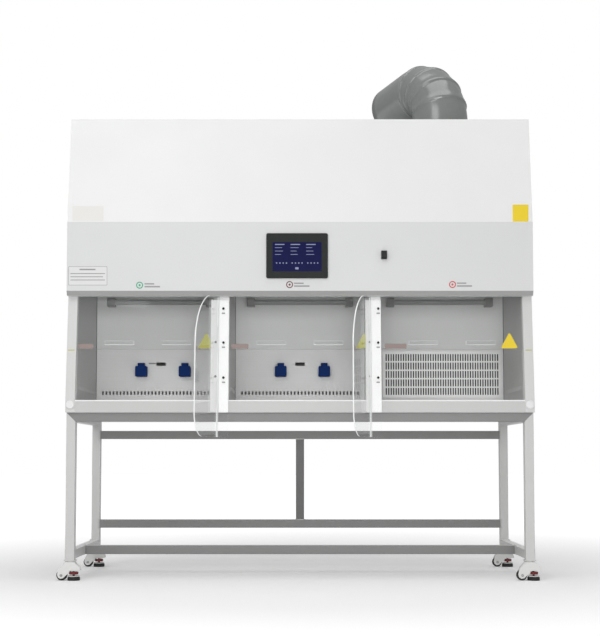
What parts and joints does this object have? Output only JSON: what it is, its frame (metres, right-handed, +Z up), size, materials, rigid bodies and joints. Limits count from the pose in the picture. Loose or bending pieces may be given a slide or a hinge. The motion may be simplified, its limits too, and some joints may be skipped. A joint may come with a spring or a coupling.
{
  "type": "biosafety cabinet",
  "caption": "Wide biosafety cabinet with side-by-side chambers, sliding glass sashes, clear swinging wings and a roof exhaust, on a tube stand with levelling casters.",
  "frame": {"origin": "on the floor under the middle of the whole footprint", "axes": "+X to the right of a person facing the cabinet, -Y towards that person, +Z up"},
  "size_m": [2.116, 1.0669, 2.4159],
  "materials": {
    "stand_paint": "light grey powder coat",
    "white_cast": "white enamelled casting",
    "white_paint": "white powder coat",
    "panel_paint": "pale grey powder coat",
    "stainless": "brushed stainless steel",
    "zinc_steel": "galvanised steel",
    "filter_pack": "pleated filter pack in its frame",
    "lamp_glass": "lamp glass",
    "lamp_plastic": "grey moulded plastic",
    "blue_plastic": "dark blue moulded plastic",
    "black_plastic": "black moulded plastic",
    "screen_glass": "dark display glass",
    "sash_glass": "clear toughened glass",
    "clear_acrylic": "clear acrylic sheet",
    "duct_plastic": "grey ribbed hose",
    "impeller_metal": "plain aluminium",
    "black_tread": "black nylon",
    "red_plastic": "dark red moulded plastic",
    "black_rubber": "black rubber"
  },
  "bodies": {
    "cabinet": {"base_tray": "white_paint", "blower_housing": "zinc_steel", "ceiling_diffusers": "stainless", "chamber_liners": "stainless", "cheek_left": "white_paint", "cheek_right": "white_paint", "control_panel": "panel_paint", "divider_left": "white_paint", "divider_right": "white_paint", "exhaust_collar": "zinc_steel", "exhaust_duct": "duct_plastic", "foot_caps": "white_paint", "lamp_holders": "lamp_plastic", "lamp_tubes": "lamp_glass", "power_switch_body": "black_plastic", "rear_panel": "white_paint", "rear_walls": "stainless", "return_grille": "stainless", "roof_panel": "white_paint", "socket_bodies": "blue_plastic", "stand_centre_post": "stand_paint", "stand_cross_beams": "stand_paint", "stand_legs": "stand_paint", "stand_side_rails": "stand_paint", "supply_filters": "filter_pack", "touch_panel_bezel": "black_plastic", "touch_panel_screen": "screen_glass", "upper_front_panel": "white_paint", "wing_flanges": "clear_acrylic", "work_trays": "stainless"},
    "sash_left": {"sash_glass_left": "sash_glass", "sash_pulls_left": "clear_acrylic"},
    "sash_centre": {"sash_glass_centre": "sash_glass", "sash_pulls_centre": "clear_acrylic"},
    "sash_right": {"sash_glass_right": "sash_glass", "sash_pulls_right": "clear_acrylic"},
    "wing_left": {"wing_left": "clear_acrylic"},
    "wing_right": {"wing_right": "clear_acrylic"},
    "socket_lid_1": {"socket_lid_1": "blue_plastic"},
    "socket_lid_2": {"socket_lid_2": "blue_plastic"},
    "socket_lid_3": {"socket_lid_3": "blue_plastic"},
    "socket_lid_4": {"socket_lid_4": "blue_plastic"},
    "power_rocker": {"power_rocker": "black_plastic"},
    "blower_impeller": {"blower_impeller": "impeller_metal"},
    "caster_front_left": {"caster_body_front_left": "white_cast"},
    "wheel_front_left": {"caster_wheel_front_left": "black_tread"},
    "thumbwheel_front_left": {"caster_thumbwheel_front_left": "red_plastic"},
    "pad_front_left": {"caster_pad_front_left": "black_rubber"},
    "caster_front_right": {"caster_body_front_right": "white_cast"},
    "wheel_front_right": {"caster_wheel_front_right": "black_tread"},
    "thumbwheel_front_right": {"caster_thumbwheel_front_right": "red_plastic"},
    "pad_front_right": {"caster_pad_front_right": "black_rubber"},
    "caster_rear_left": {"caster_body_rear_left": "white_cast"},
    "wheel_rear_left": {"caster_wheel_rear_left": "black_tread"},
    "thumbwheel_rear_left": {"caster_thumbwheel_rear_left": "red_plastic"},
    "pad_rear_left": {"caster_pad_rear_left": "black_rubber"},
    "caster_rear_right": {"caster_body_rear_right": "white_cast"},
    "wheel_rear_right": {"caster_wheel_rear_right": "black_tread"},
    "thumbwheel_rear_right": {"caster_thumbwheel_rear_right": "red_plastic"},
    "pad_rear_right": {"caster_pad_rear_right": "black_rubber"}
  },
  "joints": [
    {"name": "sash_left_slide", "type": "slide", "parent": "cabinet", "child": "sash_left", "axis": [0, 0.0958, 0.9954], "range_m": [-0.226, 0.19]},
    {"name": "sash_centre_slide", "type": "slide", "parent": "cabinet", "child": "sash_centre", "axis": [0, 0.0958, 0.9954], "range_m": [-0.226, 0.19]},
    {"name": "sash_right_slide", "type": "slide", "parent": "cabinet", "child": "sash_right", "axis": [0, 0.0958, 0.9954], "range_m": [-0.226, 0.19]},
    {"name": "wing_left_hinge", "type": "hinge", "parent": "cabinet", "child": "wing_left", "pos_m": [-0.3625, -0.25153, 0.626], "axis": [0, 0.0958, 0.9954], "range_deg": [-45.5, 74.5]},
    {"name": "wing_right_hinge", "type": "hinge", "parent": "cabinet", "child": "wing_right", "pos_m": [0.3105, -0.25153, 0.626], "axis": [0, 0.0958, 0.9954], "range_deg": [-42.8, 77.2]},
    {"name": "socket_lid_1_hinge", "type": "hinge", "parent": "cabinet", "child": "socket_lid_1", "pos_m": [-0.766, 0.27747, 0.9845], "axis": [-1, 0, 0], "range_deg": [0, 110]},
    {"name": "socket_lid_2_hinge", "type": "hinge", "parent": "cabinet", "child": "socket_lid_2", "pos_m": [-0.556, 0.27747, 0.9845], "axis": [-1, 0, 0], "range_deg": [0, 110]},
    {"name": "socket_lid_3_hinge", "type": "hinge", "parent": "cabinet", "child": "socket_lid_3", "pos_m": [-0.093, 0.27747, 0.9845], "axis": [-1, 0, 0], "range_deg": [0, 110]},
    {"name": "socket_lid_4_hinge", "type": "hinge", "parent": "cabinet", "child": "socket_lid_4", "pos_m": [0.117, 0.27747, 0.9845], "axis": [-1, 0, 0], "range_deg": [0, 110]},
    {"name": "power_rocker_tilt", "type": "hinge", "parent": "cabinet", "child": "power_rocker", "pos_m": [0.371, -0.24203, 1.429], "axis": [-1, 0, 0], "range_deg": [0, 12]},
    {"name": "blower_spin", "type": "hinge", "parent": "cabinet", "child": "blower_impeller", "pos_m": [0.661, 0.05697, 1.808], "axis": [0, 0, 1], "continuous": true},
    {"name": "caster_front_left_swivel", "type": "hinge", "parent": "cabinet", "child": "caster_front_left", "pos_m": [-1.007, -0.19303, 0.085], "axis": [0, 0, 1], "continuous": true},
    {"name": "wheel_front_left_spin", "type": "hinge", "parent": "caster_front_left", "child": "wheel_front_left", "pos_m": [-1.043, -0.19303, 0.023], "axis": [0, 1, 0], "continuous": true},
    {"name": "thumbwheel_front_left_turn", "type": "hinge", "parent": "caster_front_left", "child": "thumbwheel_front_left", "pos_m": [-0.991, -0.19303, 0.026], "axis": [0, 0, 1], "range_deg": [-720, 1440]},
    {"name": "pad_front_left_slide", "type": "slide", "parent": "caster_front_left", "child": "pad_front_left", "axis": [0, 0, -1], "range_m": [-0.004, 0.008]},
    {"name": "caster_front_right_swivel", "type": "hinge", "parent": "cabinet", "child": "caster_front_right", "pos_m": [1.007, -0.19303, 0.085], "axis": [0, 0, 1], "continuous": true},
    {"name": "wheel_front_right_spin", "type": "hinge", "parent": "caster_front_right", "child": "wheel_front_right", "pos_m": [0.971, -0.19303, 0.023], "axis": [0, 1, 0], "continuous": true},
    {"name": "thumbwheel_front_right_turn", "type": "hinge", "parent": "caster_front_right", "child": "thumbwheel_front_right", "pos_m": [1.023, -0.19303, 0.026], "axis": [0, 0, 1], "range_deg": [-720, 1440]},
    {"name": "pad_front_right_slide", "type": "slide", "parent": "caster_front_right", "child": "pad_front_right", "axis": [0, 0, -1], "range_m": [-0.004, 0.008]},
    {"name": "caster_rear_left_swivel", "type": "hinge", "parent": "cabinet", "child": "caster_rear_left", "pos_m": [-1.007, 0.47197, 0.085], "axis": [0, 0, 1], "continuous": true},
    {"name": "wheel_rear_left_spin", "type": "hinge", "parent": "caster_rear_left", "child": "wheel_rear_left", "pos_m": [-1.043, 0.47197, 0.023], "axis": [0, 1, 0], "continuous": true},
    {"name": "thumbwheel_rear_left_turn", "type": "hinge", "parent": "caster_rear_left", "child": "thumbwheel_rear_left", "pos_m": [-0.991, 0.47197, 0.026], "axis": [0, 0, 1], "range_deg": [-720, 1440]},
    {"name": "pad_rear_left_slide", "type": "slide", "parent": "caster_rear_left", "child": "pad_rear_left", "axis": [0, 0, -1], "range_m": [-0.004, 0.008]},
    {"name": "caster_rear_right_swivel", "type": "hinge", "parent": "cabinet", "child": "caster_rear_right", "pos_m": [1.007, 0.47197, 0.085], "axis": [0, 0, 1], "continuous": true},
    {"name": "wheel_rear_right_spin", "type": "hinge", "parent": "caster_rear_right", "child": "wheel_rear_right", "pos_m": [0.971, 0.47197, 0.023], "axis": [0, 1, 0], "continuous": true},
    {"name": "thumbwheel_rear_right_turn", "type": "hinge", "parent": "caster_rear_right", "child": "thumbwheel_rear_right", "pos_m": [1.023, 0.47197, 0.026], "axis": [0, 0, 1], "range_deg": [-720, 1440]},
    {"name": "pad_rear_right_slide", "type": "slide", "parent": "caster_rear_right", "child": "pad_rear_right", "axis": [0, 0, -1], "range_m": [-0.004, 0.008]}
  ],
  "couplings": [
    {"joint": "thumbwheel_front_left_turn", "follows": "pad_front_left_slide", "rad_per_m": 3141.6},
    {"joint": "thumbwheel_front_right_turn", "follows": "pad_front_right_slide", "rad_per_m": 3141.6},
    {"joint": "thumbwheel_rear_left_turn", "follows": "pad_rear_left_slide", "rad_per_m": 3141.6},
    {"joint": "thumbwheel_rear_right_turn", "follows": "pad_rear_right_slide", "rad_per_m": 3141.6}
  ]
}
